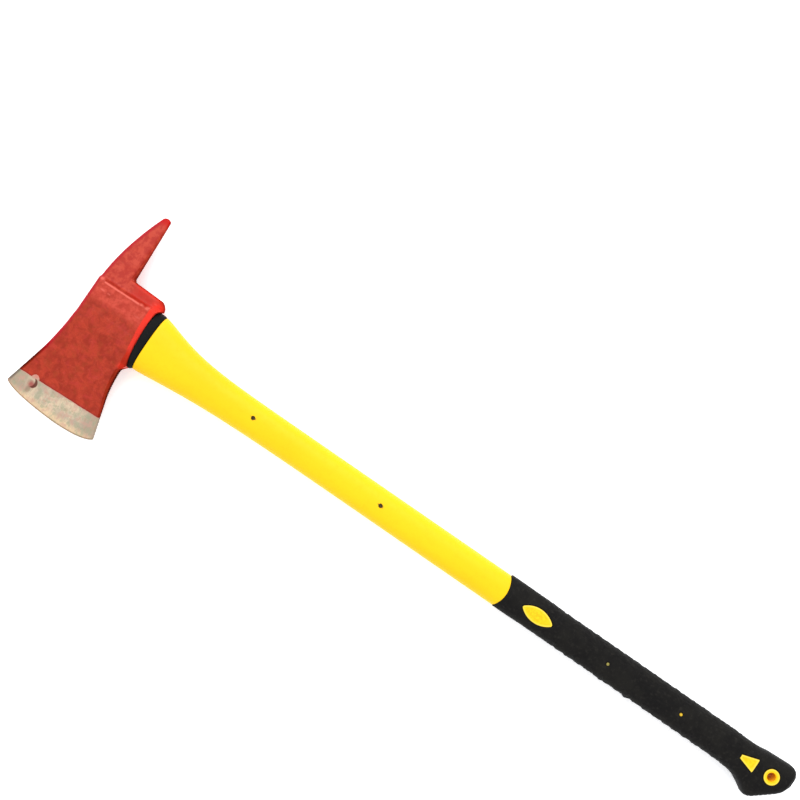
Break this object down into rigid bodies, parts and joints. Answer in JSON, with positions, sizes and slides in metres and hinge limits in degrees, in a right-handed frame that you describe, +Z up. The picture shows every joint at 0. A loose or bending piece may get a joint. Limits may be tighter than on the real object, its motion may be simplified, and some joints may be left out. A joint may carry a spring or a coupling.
{
  "type": "pick-head fire axe",
  "caption": "Pick-head fire axe: broad curved blade, tapered pick, moulded handle with a flared shoulder, textured grip, beaked butt and hanging hole, for forced entry.",
  "frame": {"origin": "where the handle's centreline crosses the middle of the head, on the plane that the lower cheek lies on", "axes": "+X along the handle towards the butt, +Y towards the pick (the blade points to -Y), +Z up through the thickness"},
  "size_m": [0.9, 0.24, 0.036],
  "materials": {
    "head_paint": "worn red enamel, satin, with a ground bare steel bevel",
    "resin": "cast epoxy, satin",
    "fibreglass": "pultruded glass fibre, sawn end",
    "collar_rubber": "black, matt",
    "jacket_plastic": "yellow polypropylene, satin gloss",
    "grip_rubber": "black thermoplastic rubber, scaled texture, matt"
  },
  "bodies": {
    "root": {"axe_head": "head_paint", "eye_resin": "resin", "fibreglass_core": "fibreglass", "shoulder_collar": "collar_rubber", "handle_jacket": "jacket_plastic", "grip_sleeve": "grip_rubber"}
  },
  "joints": []
}
